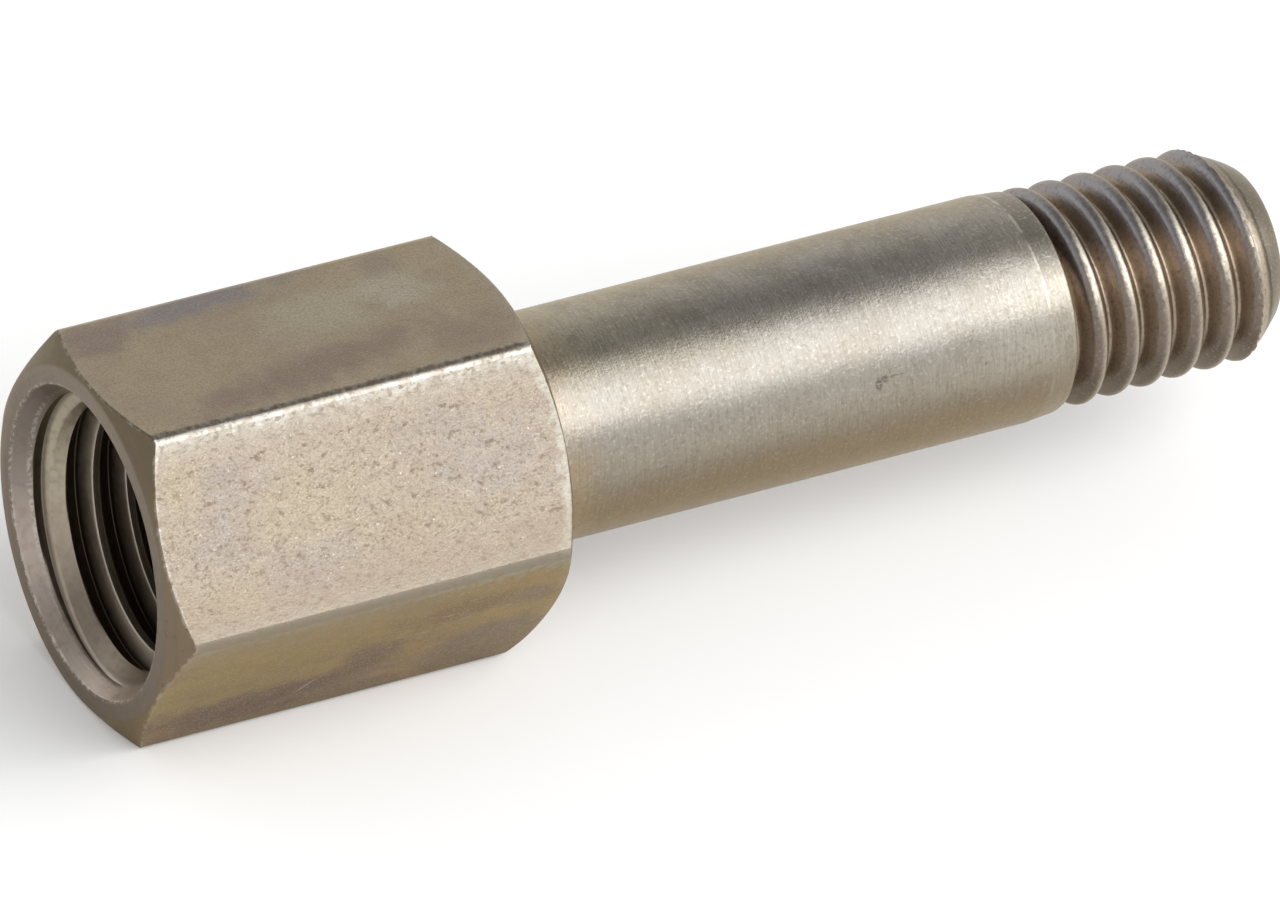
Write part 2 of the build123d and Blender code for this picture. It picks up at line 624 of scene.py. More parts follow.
# %% upper flat
olive, dull_olive = (0.362, 0.304, 0.212), (0.316, 0.254, 0.184)
brown, rosy_brown, mauve = (0.245, 0.183, 0.152), (0.24, 0.187, 0.165), (0.225, 0.18, 0.17)
fawn, blue = (0.285, 0.228, 0.178), (0.205, 0.196, 0.222)
pale, paler = (0.41, 0.37, 0.284), (0.425, 0.384, 0.308)
flats = Finish("drawn_flats", olive)
flats.mottle(0.6, dull_olive, (0.38, 0.64), 0.7, 4)
for amount, colour, (x, y), reach, angle in (
    (0.85, brown, (5.6, -1.65), (4.8, 0.95, 0.8), 11),
    (0.55, brown, (10.6, -1.7), (1.7, 1.1, 0.8), 0),
    (0.5, fawn, (5.2, 1.9), (3.6, 0.5, 0.6), 3),
    (0.8, blue, (4.3, 2.4), (3.2, 0.6, 0.7), 5),
    (0.85, rosy_brown, (1.1, 2.0), (1.6, 1.1, 0.8), 0),
    (0.4, mauve, (9.7, 2.1), (0.8, 0.7, 0.6), 30),
    (0.6, pale, (7.3, 0.6), (2.2, 1.4, 0.6), 0),
    (0.8, paler, (9.6, 0.9), (1.4, 1.0, 0.6), 0),
):
    flats.stain(amount, colour, (x, y, across_flats / 2), reach, (0, 0, angle))
print("upper flat laid,", len(flats.tree.nodes), "nodes so far")

# %% [markdown]
# The flats at the back were not photographed. They get the same coat with broad clouds of gold and
# lavender, so that the part looks as used from behind as it does from the front. Clouds of noise are right
# here, because no stain has a known place.

# %% back flats
gold_film, lavender_film = (0.298, 0.238, 0.152), (0.27, 0.236, 0.228)
back = flats.fade(flats.y, 2.8, 3.3)
flats.mottle(flats.times(back, 0.75), gold_film, (0.45, 0.64), 0.42, 3, shift=(3, 8, 1))
flats.mottle(flats.times(back, 0.7), lavender_film, (0.5, 0.66), 0.5, 4, shift=(9, 2, 6))
print("back flats laid,", len(flats.tree.nodes), "nodes so far")

# %% [markdown]
# The front flat is paler and rosier, with clouds of yellow and lavender where the film changes thickness.
# One material covers all six flats, so a mask tells the front one from the others: how far a place lies
# along the flat's own direction is greatest on that flat and falls off round its corners.

# %% front flat
slant_y, slant_z = 0.866, 0.5
off_flat, on_flat = 4.8, 4.97
front_coat, rose = (0.297, 0.254, 0.202), (0.286, 0.238, 0.196)
yellow, straw = (0.312, 0.268, 0.192), (0.292, 0.242, 0.178)
lavender, pale_lavender = (0.252, 0.224, 0.212), (0.277, 0.249, 0.234)
front = flats.fade(flats.along(-slant_y, slant_z), off_flat, on_flat)
flats.lay(front, front_coat)
flats.mottle(flats.times(front, 0.6), rose, (0.4, 0.66), 0.9, 4, shift=(4, 2, 9))
for amount, colour, centre, reach in (
    (0.7, yellow, (1.2, -3.5, 3.9), (1.1, 0.8, 1.1)),
    (0.6, yellow, (4.2, -4.3, 2.6), (2.6, 1.0, 1.6)),
    (0.5, straw, (7.4, -4.8, 1.7), (2.6, 0.8, 1.2)),
    (0.5, yellow, (1.8, -5.2, 1.0), (1.6, 0.6, 0.9)),
    (0.6, lavender, (2.4, -3.75, 3.5), (1.2, 0.9, 1.4)),
    (0.6, lavender, (1.9, -4.4, 2.3), (1.2, 0.8, 1.2)),
    (0.75, pale_lavender, (10.0, -4.25, 2.7), (2.4, 0.9, 1.5)),
    (0.5, lavender, (8.6, -3.7, 3.6), (1.6, 0.8, 1.1)),
    (0.55, lavender, (4.3, -5.05, 1.3), (1.9, 0.6, 0.9)),
):
    flats.stain(flats.times(front, amount), colour, centre, reach, ragged=1.8)
print("front flat laid,", len(flats.tree.nodes), "nodes so far")

# %% [markdown]
# The lower flat is the most golden. A plum-brown streak and darker clouds follow its lower edge, rust lies
# towards its far end, and a few light scratches cross it. A scratch is only a very thin patch, turned to
# its own angle.

# %% lower flat
gold, shade, plum = (0.27, 0.189, 0.066), (0.143, 0.1, 0.073), (0.118, 0.066, 0.052)
rust, amber, orange = (0.19, 0.112, 0.044), (0.305, 0.19, 0.07), (0.32, 0.2, 0.075)
umber, dun, drab = (0.15, 0.106, 0.088), (0.165, 0.118, 0.085), (0.205, 0.16, 0.125)
smoke, scratch, thin_scratch = (0.17, 0.121, 0.078), (0.37, 0.335, 0.275), (0.36, 0.31, 0.22)
lower = flats.fade(flats.along(-slant_y, -slant_z), off_flat, on_flat)
flats.lay(lower, gold)
flats.lay(flats.times(lower, flats.fade(flats.ragged(flats.z, 1.6, 0.8), -2.9, -4.4), 0.75), shade)
for amount, colour, centre, reach in (
    (0.95, rust, (8.9, -4.9, -1.6), (2.4, 0.6, 1.1)),
    (0.6, amber, (0.9, -3.4, -4.2), (0.8, 0.5, 0.6)),
    (1.0, plum, (3.3, -3.5, -3.9), (4.0, 0.9, 1.1)),
    (0.8, plum, (6.6, -4.0, -3.0), (1.2, 1.0, 1.5)),
    (0.8, umber, (10.2, -3.85, -3.3), (1.9, 0.7, 1.1)),
    (0.7, dun, (11.2, -4.75, -1.7), (1.0, 0.6, 0.7)),
    (0.5, drab, (7.6, -3.5, -3.9), (2.2, 0.4, 0.6)),
):
    flats.stain(flats.times(lower, amount), colour, centre, reach)
flats.mottle(flats.times(lower, 0.4), smoke, (0.47, 0.68), 1.4, 5, stretch=(0.4, 1, 1), shift=(1, 6, 2))
flats.mottle(flats.times(lower, 0.5), orange, (0.52, 0.7), 1.1, 4, stretch=(0.5, 1, 1), shift=(7, 3, 5))
flats.stain(0.7, scratch, (4.94, -3.62, -3.72), (0.5, 0.07, 0.07), (0, -42, -31), 0.4)
for centre in ((8.7, -4.75, -1.75), (9.3, -4.55, -2.1), (8.1, -4.4, -2.35)):
    flats.stain(0.6, thin_scratch, centre, (0.4, 0.05, 0.05), (0, -8, 4), 0.5)
print("lower flat laid,", len(flats.tree.nodes), "nodes so far")

# %% [markdown]
# Pits from the bar's rolled skin show most on the front flat. They are painted as soft brown spots in two
# sizes over a fine grain, with a few bright points between them. They are pressed in only slightly later
# on, because a deep relief would throw hard black and white edges.

# %% pits and flecks
dark_grain, light_grain = (0.205, 0.163, 0.12), (0.43, 0.385, 0.3)
dark_blotch, light_blotch = (0.248, 0.2, 0.158), (0.325, 0.285, 0.226)
small_pit, large_pit, glint = (0.165, 0.124, 0.088), (0.14, 0.103, 0.073), (0.47, 0.45, 0.4)
speckle = flats.plus(flats.times(front, 0.75), flats.times(back, 0.25), 0.25)
lumps = flats.ragged(flats.cloud(4.8, 5, stretch=(0.8, 1, 1)), 0.22, 14)
pits = flats.times(flats.fade(lumps, 0.55, 0.74), speckle)
flats.mottle(0.4, dark_grain, (0.4, 0.64), 15, 3, shift=(8, 8, 8))
flats.mottle(0.3, light_grain, (0.5, 0.66), 17, 3, shift=(2, 9, 5))
flats.mottle(flats.times(front, 0.4), dark_blotch, (0.46, 0.66), 3, 4, shift=(1, 2, 3))
flats.mottle(flats.times(front, 0.4), light_blotch, (0.5, 0.68), 2.4, 4, shift=(6, 5, 9))
flats.mottle(flats.times(speckle, 0.6), small_pit, (0.52, 0.7), 9, 4, shift=(7, 1, 2))
flats.lay(flats.times(pits, 0.75), large_pit)
flats.mottle(flats.times(speckle, 0.75), glint, (0.68, 0.75), 9, 2, shift=(3, 6, 1))
print("pits laid,", len(flats.tree.nodes), "nodes so far")

# %% [markdown]
# Long edges and rims are rubbed bare in broken lines. To paint along an edge, the shader has to know how
# far away it is. The distance to the nearest long edge is the least of three distances across the hexagon,
# and the distance to an end rim is measured along the axis from the turned cone.

# %% distances to the edges
slant = flats.along(slant_y, slant_z)
edge = flats.least(flats.size(flats.z), flats.size(slant), flats.size(flats.along(slant_y, -slant_z)))
past_cone = flats.times(flats.most(flats.minus(flats.radius, face_radius), 0), tan(chamfer_angle))
far_rim = flats.minus(flats.minus(hexagon_length, flats.x), past_cone)
near_rim = flats.minus(flats.x, past_cone)
upper = flats.fade(flats.z, 4.1, 4.5)
broken = flats.fade(flats.cloud(4, 4, shift=(5, 5, 5)), 0.4, 0.62)
print("edges measured,", len(flats.tree.nodes), "nodes so far")

# %% [markdown]
# The edge between the upper and front flats gets painted shade above and a painted highlight and sheen
# below, as the light falls on it from the front. The one between the front and lower flats is a wide, ragged
# grey band, where the coat is rubbed thin, with a painted reflection in it.

# %% rubbed long edges, painted highlight and shade
grey, rubbed = (0.29, 0.275, 0.228), (0.38, 0.355, 0.3)
sheen, edge_highlight = (0.35, 0.322, 0.272), (0.465, 0.455, 0.418)
edge_pit, edge_shade_line = (0.2, 0.165, 0.125), (0.115, 0.088, 0.064)
front_corner = flats.fade(flats.y, -4.5, -5)
# ragged grey band at the lower front edge: coat rubbed thin, with a painted reflection
grey_edge = flats.times(flats.fade(flats.ragged(flats.size(flats.z), 1.3, 5), 0.6, 0.05), front_corner)
flats.lay(flats.times(grey_edge, 0.75), grey)
flats.lay(flats.times(flats.fade(flats.ragged(edge, 0.25, 5), 0.12, 0.02), broken, 0.28), rubbed)
# painted sheen on the front flat below its upper edge
flats.lay(flats.times(front, flats.fade(slant, -1.7, -0.2), upper, 0.35), sheen)
# painted highlight along the edge between the upper and front flats
bright_edge = flats.fade(flats.ragged(flats.times(slant, -1), 0.5, 6), 0.5, 0.04)
patchy = flats.plus(flats.times(flats.fade(flats.cloud(2.6, 5, shift=(2, 4, 8)), 0.4, 0.58), 0.6), 0.34)
flats.lay(flats.times(bright_edge, front, upper, patchy), edge_highlight)
along_edge = flats.about(slant, -0.2, 0.4, 0.1)
flats.mottle(flats.times(along_edge, front, upper, 0.65), edge_pit, (0.5, 0.62), 6, 4, shift=(8, 3, 3))
# painted shade along that edge, on the upper flat's side
edge_shade = flats.times(flats.fade(flats.ragged(slant, 0.55, 5), 0.24, 0.0), flats.fade(slant, -0.09, 0))
flats.lay(flats.times(edge_shade, upper, 0.75), edge_shade_line)
print("long edges laid,", len(flats.tree.nodes), "nodes so far")

# %% [markdown]
# The rims at both ends of the flats are worn bright, most of all on the front. The last two layers tone the
# front and lower flats towards the edge that they share. Then the flats get their gloss and relief: a fine
# grain, broad waves from the die, nicks along the worn edges and the shallow pits.

# %% worn rims and relief
bare_metal = (0.5, 0.48, 0.43)
worn_rim, warm_foot, pale_head = (0.4, 0.39, 0.345), (0.258, 0.206, 0.156), (0.27, 0.222, 0.145)
far_wear = flats.fade(flats.ragged(far_rim, 1.2, 4), 0.4, 0.0)
flats.lay(flats.times(far_wear, flats.plus(flats.times(front, 0.5), 0.15)), worn_rim)
near_wear = flats.times(flats.fade(flats.ragged(near_rim, 0.3, 8), 0.13, 0.0), broken)
flats.lay(flats.times(near_wear, flats.plus(flats.times(front, 0.5), 0.3)), bare_metal)
flats.lay(flats.times(front, flats.fade(flats.z, 1.7, 0.5), 0.5), warm_foot)
flats.lay(flats.times(lower, flats.fade(flats.x, 9.5, 6), flats.fade(flats.z, -1.7, -0.4), 0.4), pale_head)
worn = flats.fade(flats.least(edge, near_rim, far_rim), 0.25, 0.02)
nicks = flats.times(worn, flats.cloud(6, 3, shift=(1, 7, 3)), 0.8)
grain = flats.times(flats.cloud(14, 2), 0.7)
waves = flats.times(flats.cloud(1.6, 3), 1.2)
flats_gloss = flats.plus(flats.times(flats.cloud(2.5, 3), 0.16), 0.28)
flats.finish(flats_gloss, flats.minus(flats.plus(grain, waves, nicks), flats.times(pits, 0.35)), depth=8)

# %% [markdown]
# The cones and end faces are turned, so they carry fine rings round the axis. They are a greyer, duller
# olive, darker above and browner below, with a thin bright nicked line where they meet the flats and
# another round the socket's mouth. The rings are noise that runs along the axis and outwards at once, so
# one pattern serves the cones and the flat faces.

# %% turned ends finish
end_olive, end_brown = (0.192, 0.148, 0.096), (0.198, 0.147, 0.102)
end_dark, end_gold, end_grey = (0.112, 0.091, 0.059), (0.168, 0.117, 0.052), (0.192, 0.155, 0.125)
ring_dark, end_spot = (0.15, 0.12, 0.098), (0.12, 0.094, 0.072)
nick, mouth_nick = (0.42, 0.39, 0.33), (0.46, 0.43, 0.38)
ends = Finish("turned_ends", end_olive)
ends.mottle(0.6, end_brown, (0.4, 0.62), 0.8, 3)
ends.lay(ends.times(ends.fade(ends.z, 1.5, 4.5), 0.7), end_dark)
ends.lay(ends.times(ends.fade(ends.z, -1.5, -4), 0.85), end_gold)
ends.lay(ends.fade(ends.radius, 4.95, 4.8), end_grey)
turned_rings = ends.hairlines(ends.times(ends.plus(ends.x, ends.radius), 9), 0.5, 2)
ends.lay(ends.times(ends.fade(turned_rings, 0.5, 0.68), 0.25), ring_dark)
ends.mottle(0.5, end_spot, (0.62, 0.7), 4, 3)
across = [ends.size(ends.along(slant_y, share)) for share in (slant_z, -slant_z)]
wall = ends.minus(across_flats / 2, ends.most(ends.size(ends.z), *across))
at_wall = ends.fade(ends.ragged(wall, 0.14, 9), 0.07, 0.0)
ends.mottle(ends.times(at_wall, 0.5), nick, (0.4, 0.62), 4, 4, shift=(5, 5, 5))
mouth_line = ends.fade(ends.radius, mouth_radius + 0.08, mouth_radius + 0.03)
near_end = ends.fade(ends.x, 1, 0.5)
ends.mottle(ends.times(mouth_line, near_end, 0.6), mouth_nick, (0.44, 0.62), 8, 3)
ends_gloss = ends.plus(ends.times(ends.cloud(3, 2), 0.15), 0.34)
ends.finish(ends_gloss, ends.plus(turned_rings, ends.times(ends.cloud(11, 2), 0.9)), depth=6)

# %% [markdown]
# The shank is turned to a satin. It is palest on top, browner below and golden beside the hexagon, where
# the coat runs thicker. The browner lower side is partly painted shade, a painted highlight runs along its
# middle, and painted light brightens its top towards the hexagon. These broad tones come first, each one
# a fade along the axis, upwards or backwards.

# %% shank tones
shank_grey, shank_dull, shank_brown_and_shade = (0.296, 0.279, 0.25), (0.272, 0.248, 0.21), (0.248, 0.185, 0.103)
far_brown, far_grey = (0.24, 0.176, 0.09), (0.27, 0.235, 0.18)
shank_highlight, top_painted_light, gilt = (0.38, 0.345, 0.28), (0.35, 0.31, 0.222), (0.37, 0.272, 0.155)
shank = Finish("turned_shank", shank_grey)
shank.mottle(0.8, shank_dull, (0.4, 0.64), 0.6, 4)
# browner below: a coat tint and painted shade
shank.lay(shank.times(shank.fade(shank.z, 1.7, -1.4), 0.92), shank_brown_and_shade)
shank.lay(shank.times(shank.fade(shank.y, 0.0, 2.0), 0.9), far_brown)
shank.lay(shank.times(shank.fade(shank.y, 1.7, 2.6), 0.75), far_grey)
# painted highlight band along the middle, wider towards the land
towards_land = shank.plus(shank.times(shank.fade(shank.x, 23, 27), 0.3), 0.4)
shank.lay(shank.times(shank.about(shank.z, 0.55, 1.0, 0.1), towards_land), shank_highlight)
# painted light on the top, towards the hexagon
shank.lay(shank.times(shank.fade(shank.x, 21, 14), shank.fade(shank.z, 2.3, 2.9), 0.55), top_painted_light)
off_light = shank.plus(shank.times(shank.about(shank.z, 1.9, 0.4, 1.4), 0.5), 0.3)
shank.lay(shank.times(shank.fade(shank.ragged(shank.x, 1.2, 1), 14.6, 12.4), off_light), gilt)
print("shank tones laid,", len(shank.tree.nodes), "nodes so far")

# %% [markdown]
# The land before the stud is turned in a second cut. A painted highlight makes it brighter where the light
# falls, and the stretch before it too, but painted shade keeps its top dark like the rest of the shank's. It
# is laid before the grain, which has to run across both.

# %% land
end_highlight, land_tone = (0.42, 0.395, 0.34), (0.33, 0.29, 0.226)
land_highlight, land_top_shade = (0.345, 0.315, 0.268), (0.185, 0.172, 0.148)
# painted highlight on the stretch before the land
before_land = shank.times(shank.fade(shank.x, 25.2, 27), shank.about(shank.z, 1.25, 1.1, 0.3))
shank.lay(shank.times(before_land, 0.4), end_highlight)
on_land = shank.fade(shank.x, land_start - 0.05, land_start + 0.12)
lit = shank.fade(shank.z, 0.6, 2.0)
shank.lay(shank.times(on_land, 0.4), land_tone)
# painted highlight on the land where the light falls, then painted shade on its top
shank.lay(shank.times(on_land, lit, 0.6), land_highlight)
shank.lay(shank.times(on_land, shank.fade(shank.z, 2.0, 2.7), 0.85), land_top_shade)
print("land laid,", len(shank.tree.nodes), "nodes so far")

# %% [markdown]
# Hairlines from the tool run round the shank, with a fine grain and bright flecks over them. The tool also
# left a thin light ring at the land, with a painted highlight that is stronger where the light falls. One
# dark smudge, a dot and four faint scratches make it a used part.
# The hairlines serve twice, as a colour and as the relief that spreads the light into a satin band.

# %% shank grain and marks
blotch, hairline, grime = (0.15, 0.133, 0.108), (0.16, 0.137, 0.104), (0.085, 0.07, 0.055)
shank_grain, fleck, tool_ring_and_highlight = (0.17, 0.142, 0.108), (0.47, 0.45, 0.4), (0.52, 0.49, 0.43)
hair = shank.hairlines(shank.times(shank.x, 17), 1.8)
top_band = shank.fade(shank.z, 2.3, 2.8)
shank.mottle(shank.times(top_band, 0.3), blotch, (0.46, 0.66), 1.3, 4, shift=(6, 3, 2))
shank.lay(shank.times(shank.fade(hair, 0.42, 0.68), 0.26), hairline)
shank.mottle(0.35, shank_grain, (0.5, 0.7), 8, 4)
fleck_share = shank.plus(shank.times(shank.fade(shank.z, -0.6, 0.8), 0.2), 0.2)
shank.mottle(fleck_share, fleck, (0.54, 0.7), 11, 3, shift=(3, 1, 8))
# a tool ring, partly a painted highlight, stronger where the light falls
ring = shank.about(shank.x, land_start + 0.09, 0.07, 0.015)
ring_share = shank.plus(shank.times(lit, 0.45), 0.2)
shank.mottle(shank.times(ring, ring_share), tool_ring_and_highlight, (0.4, 0.6), 1.4, 2, shift=(2, 5, 1))
spots = shank.times(shank.fade(shank.cloud(15, 3), 0.36, 0.56), 0.65)
for centre, reach in (
    ((22.42, -3.06, 0.84), (0.13, 0.3, 0.22)),
    ((22.62, -3.03, 0.98), (0.1, 0.3, 0.1)),
    ((23.0, -3.03, 1.0), (0.3, 0.3, 0.04)),
    ((25.72, -3.1, 0.7), (0.07, 0.2, 0.07)),
):
    shank.stain(spots, grime, centre, reach, ragged=1.6)
for centre, angle in (
    ((20.3, -2.3, 2.2), 35),
    ((24.6, -2.8, 1.5), -25),
    ((26.7, -2.0, 2.45), 50),
    ((17.2, -2.9, 1.3), -50),
):
    shank.stain(0.35, bare_metal, centre, (0.4, 0.05, 0.05), (0, angle, 0), 0.4)
shank_gloss = shank.plus(shank.times(shank.cloud(2, 3), 0.14), 0.26)
shank.finish(shank_gloss, shank.plus(shank.times(hair, 1.3), shank.times(shank.cloud(14, 3), 1.2)), depth=5)

# %% [markdown]
# The stud's near flanks are bronze with a lavender bloom on top, and each crest is rubbed to a bright
# streak, which is partly a painted highlight where the light falls. Light and shade are painted on too:
# tan painted light on the roots and far flanks, painted shade on the near side of each crest, under the stud
# and on top, and a painted bluish highlight over the bloom on top. These colours have to follow the helix.
# They could be painted on the mesh, but a formula is finer: the phase, which is how far a place lies from
# the nearest crest, is worked out from the place along the axis and the turn around it.

# %% stud along its helix
bronze, stud_brown = (0.235, 0.189, 0.153), (0.23, 0.175, 0.128)
root_painted_light, flank_painted_light, far_flank_highlight = (0.36, 0.29, 0.222), (0.33, 0.266, 0.212), (0.42, 0.35, 0.27)
crest_side_shade, under_shade, top_shade = (0.165, 0.135, 0.11), (0.105, 0.082, 0.06), (0.14, 0.118, 0.095)
bloom, top_bloom_highlight, rubbed_crest_and_highlight = (0.2, 0.185, 0.195), (0.272, 0.264, 0.278), (0.45, 0.415, 0.35)
thread = Finish("rolled_stud", bronze)
turn = thread.times(thread.math("ARCTAN2", thread.times(thread.y, -1), thread.z), 1 / (2 * pi))
wound = thread.minus(thread.minus(thread.x, first_root), turn)
phase = thread.minus(thread.math("FRACT", wound), 0.5)
top = thread.fade(thread.z, 1.8, 2.7)


def band(centre, reach):
    """A soft band of the thread about one phase."""
    return thread.about(phase, centre, reach + 0.06, reach - 0.04)


thread.mottle(0.5, stud_brown, (0.45, 0.66), 1.1, 3)
# painted light on the roots and the foot of the near flanks
thread.lay(thread.times(thread.fade(thread.size(phase), 0.34, 0.44), 0.8), root_painted_light)
thread.lay(thread.times(band(-0.28, 0.07), 0.7), flank_painted_light)
# painted shade on the near side of each crest
thread.lay(thread.times(band(-0.12, 0.1), 0.6), crest_side_shade)
thread.lay(thread.times(thread.fade(thread.z, 0.9, 2.2), band(-0.2, 0.1), 0.5), bloom)
# painted bluish highlight over the bloom on top
thread.lay(thread.times(top, band(-0.15, 0.12), 0.8), top_bloom_highlight)
# painted highlight on the far flanks, and painted shade on the crests' far side on top
thread.lay(thread.times(band(0.2, 0.16), thread.fade(thread.z, 2.6, 1.6), 0.7), far_flank_highlight)
thread.lay(thread.times(top, band(0.1, 0.14), 0.6), top_shade)
# painted shade under the stud
under = thread.fade(thread.z, 0.0, -1.2)
thread.lay(thread.times(under, thread.fade(phase, 0, -0.14), 0.8), under_shade)
# crest streak: rubbed metal and a painted highlight, strongest where the light falls
sunlit = thread.times(thread.fade(thread.z, 0.5, 1.6), thread.fade(thread.y, -0.4, -1.5))
streak = thread.about(thread.ragged(phase, 0.3, 5), 0.05, 0.14, 0.04)
thread.lay(thread.times(streak, thread.plus(thread.times(sunlit, 0.6), 0.2)), rubbed_crest_and_highlight)
print("helix laid,", len(thread.tree.nodes), "nodes so far")

# %% [markdown]
# Past the last crest the groove has run out, and the bevel there is a plain dull olive behind a dark line.
# The same turn as in the mesh, with its jump at the same seam, tells how far past that crest a place lies.
# The end face is paler, with rings on it, and a dark and a light grain go over the whole stud.

# %% stud end and grain
bevel_olive, bevel_top, runout_line = (0.185, 0.163, 0.126), (0.12, 0.102, 0.075), (0.06, 0.048, 0.036)
face_pale, face_brown = (0.29, 0.25, 0.2), (0.2, 0.158, 0.112)
stud_grain, stud_fleck = (0.11, 0.09, 0.072), (0.38, 0.34, 0.285)
seam_share = seam_turn / 360
whole_turn = thread.minus(thread.math("FRACT", thread.plus(turn, seam_share)), seam_share)
past_last = thread.minus(thread.minus(thread.x, last_crest), whole_turn)
on_bevel = thread.fade(past_last, 0.24, 0.36)
thread.lay(on_bevel, bevel_olive)
thread.lay(thread.times(on_bevel, thread.fade(thread.z, 1.2, 2.2), 0.6), bevel_top)
thread.lay(thread.times(thread.about(thread.ragged(past_last, 0.1, 4), 0.42, 0.09, 0.02), 0.8), runout_line)
end_face = thread.fade(thread.radius, stud_end_radius + 0.1, stud_end_radius - 0.05)
thread.lay(end_face, face_pale)
thread.mottle(thread.times(end_face, 0.6), face_brown, (0.42, 0.62), 1.3, 4, shift=(2, 7, 4))
thread.mottle(0.4, stud_grain, (0.5, 0.68), 9, 4, shift=(4, 1, 6))
thread.mottle(0.35, stud_fleck, (0.56, 0.7), 12, 3, shift=(9, 5, 3))
rolled_lines = thread.hairlines(thread.times(thread.plus(thread.x, thread.radius), 16), 1.2)
stud_gloss = thread.plus(thread.times(thread.cloud(3, 2), 0.12), 0.27)
thread.finish(stud_gloss, thread.plus(rolled_lines, thread.times(thread.cloud(10, 3), 0.9)), depth=5)

# %% [markdown]
# In the socket the thread's flanks are beige near the mouth and darken with depth under painted shade,
# its crests are rubbed bright, and painted shade keeps the roots almost black. Depth is the place along the
# axis, and roots and crests are told apart by the radius alone, so no helix is needed here.

# %% tapped thread
beige, socket_brown, socket_low = (0.44, 0.39, 0.297), (0.25, 0.205, 0.15), (0.265, 0.21, 0.172)
deep, bottom_shade, root_shade = (0.17, 0.13, 0.088), (0.1, 0.08, 0.06), (0.075, 0.056, 0.042)
tapped_crest = (0.5, 0.46, 0.4)
tapped = Finish("tapped_socket", beige)
tapped.mottle(0.35, socket_brown, (0.45, 0.68), 5, 4)
tapped.lay(tapped.times(tapped.fade(tapped.z, 0.6, -2.6), 0.65), socket_low)
# painted shade that deepens down the hole
tapped.lay(tapped.times(tapped.fade(tapped.x, 1.2, 4.5), 0.6), deep)
tapped.lay(tapped.times(tapped.fade(tapped.x, 6.5, 8.8), 0.8), bottom_shade)
# painted shade in the thread roots, stronger past the mouth
root_shade_share = tapped.plus(tapped.times(tapped.fade(tapped.x, 0.8, 1.5), 0.35), 0.6)
tapped.lay(tapped.times(tapped.fade(tapped.radius, 3.9, 4.04), root_shade_share), root_shade)
at_crest = tapped.fade(tapped.radius, socket_crest + 0.07, socket_crest + 0.02)
tapped.lay(tapped.times(at_crest, 0.5), tapped_crest)
print("tapped thread laid,", len(tapped.tree.nodes), "nodes so far")

# %% [markdown]
# The countersink is a rosy grey, lighter below where it faces the light, with bright, broken edges. A place
# is on it where its radius is the cone's own radius at that depth, which is the same sum that shaped it.

# %% countersink
rosy_grey, rosy_light, cone_spot = (0.262, 0.222, 0.19), (0.46, 0.385, 0.33), (0.19, 0.15, 0.125)
cone_glint = (0.48, 0.44, 0.39)
cone_radius = tapped.plus(tapped.radius, tapped.times(tapped.x, mouth_slope))
on_cone = tapped.about(cone_radius, mouth_radius, 0.035, 0.015)
shallow = tapped.fade(tapped.x, 0.75, 0.5)
tapped.lay(tapped.times(on_cone, shallow), rosy_grey)
tapped.lay(tapped.times(on_cone, tapped.fade(tapped.z, 0, -3), shallow, 0.8), rosy_light)
tapped.mottle(tapped.times(on_cone, 0.3), cone_spot, (0.5, 0.7), 3, 3, shift=(6, 2, 4))
cone_edges = tapped.most(tapped.about(tapped.x, 0.47, 0.09, 0.02), tapped.fade(tapped.x, 0.09, 0.03))
tapped.mottle(tapped.times(on_cone, cone_edges, 0.7), cone_glint, (0.44, 0.6), 8, 3)
tool_lines = tapped.hairlines(tapped.times(tapped.x, 14), 0.8)
socket_gloss = tapped.plus(tapped.times(tapped.cloud(3, 2), 0.15), 0.3)
tapped.finish(socket_gloss, tapped.plus(tool_lines, tapped.times(tapped.cloud(9, 2), 0.7)), depth=5)

# %% [markdown]
# The real coat is one film, but each tool left its own surface under it. So each face takes its finish from
# where it lies: along the axis, how far out, and which way it looks. Picking by hand would have to be done
# again after every change of shape, while a rule runs again by itself.

# %% finishes on faces
crest_spare, foot_spare, lip_spare, face_spare = 0.2, 0.01, 0.005, 0.1
end_facing = 0.4
finishes = [flats, ends, shank, thread, tapped]
body.data.materials.clear()
for finish in finishes:
    body.data.materials.append(finish.material)
for face in body.data.polygons:
    x, y, z = face.center * 1000
    radius = hypot(y, z)
    if x > shank_end and radius < stud_radius + crest_spare:
        chosen = thread
    elif x > hexagon_length + foot_spare:
        chosen = shank
    elif radius < mouth_radius - lip_spare and x < hexagon_length - face_spare:
        chosen = tapped
    else:
        chosen = ends if abs(face.normal.x) > end_facing else flats
    face.material_index = finishes.index(chosen)
print("finishes", len(finishes), "on", len(body.data.polygons), "faces")

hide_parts("threaded_extension")
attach(body, "root")

# %% [markdown]
# ## Studio
# The part lies on white paper. Lighting the paper until it is white would bleach the part as well. So the
# paper has a faint glow of its own, seen by the camera and in reflections only. It whitens the background
# without lighting the part, and it keeps the part's shadow.

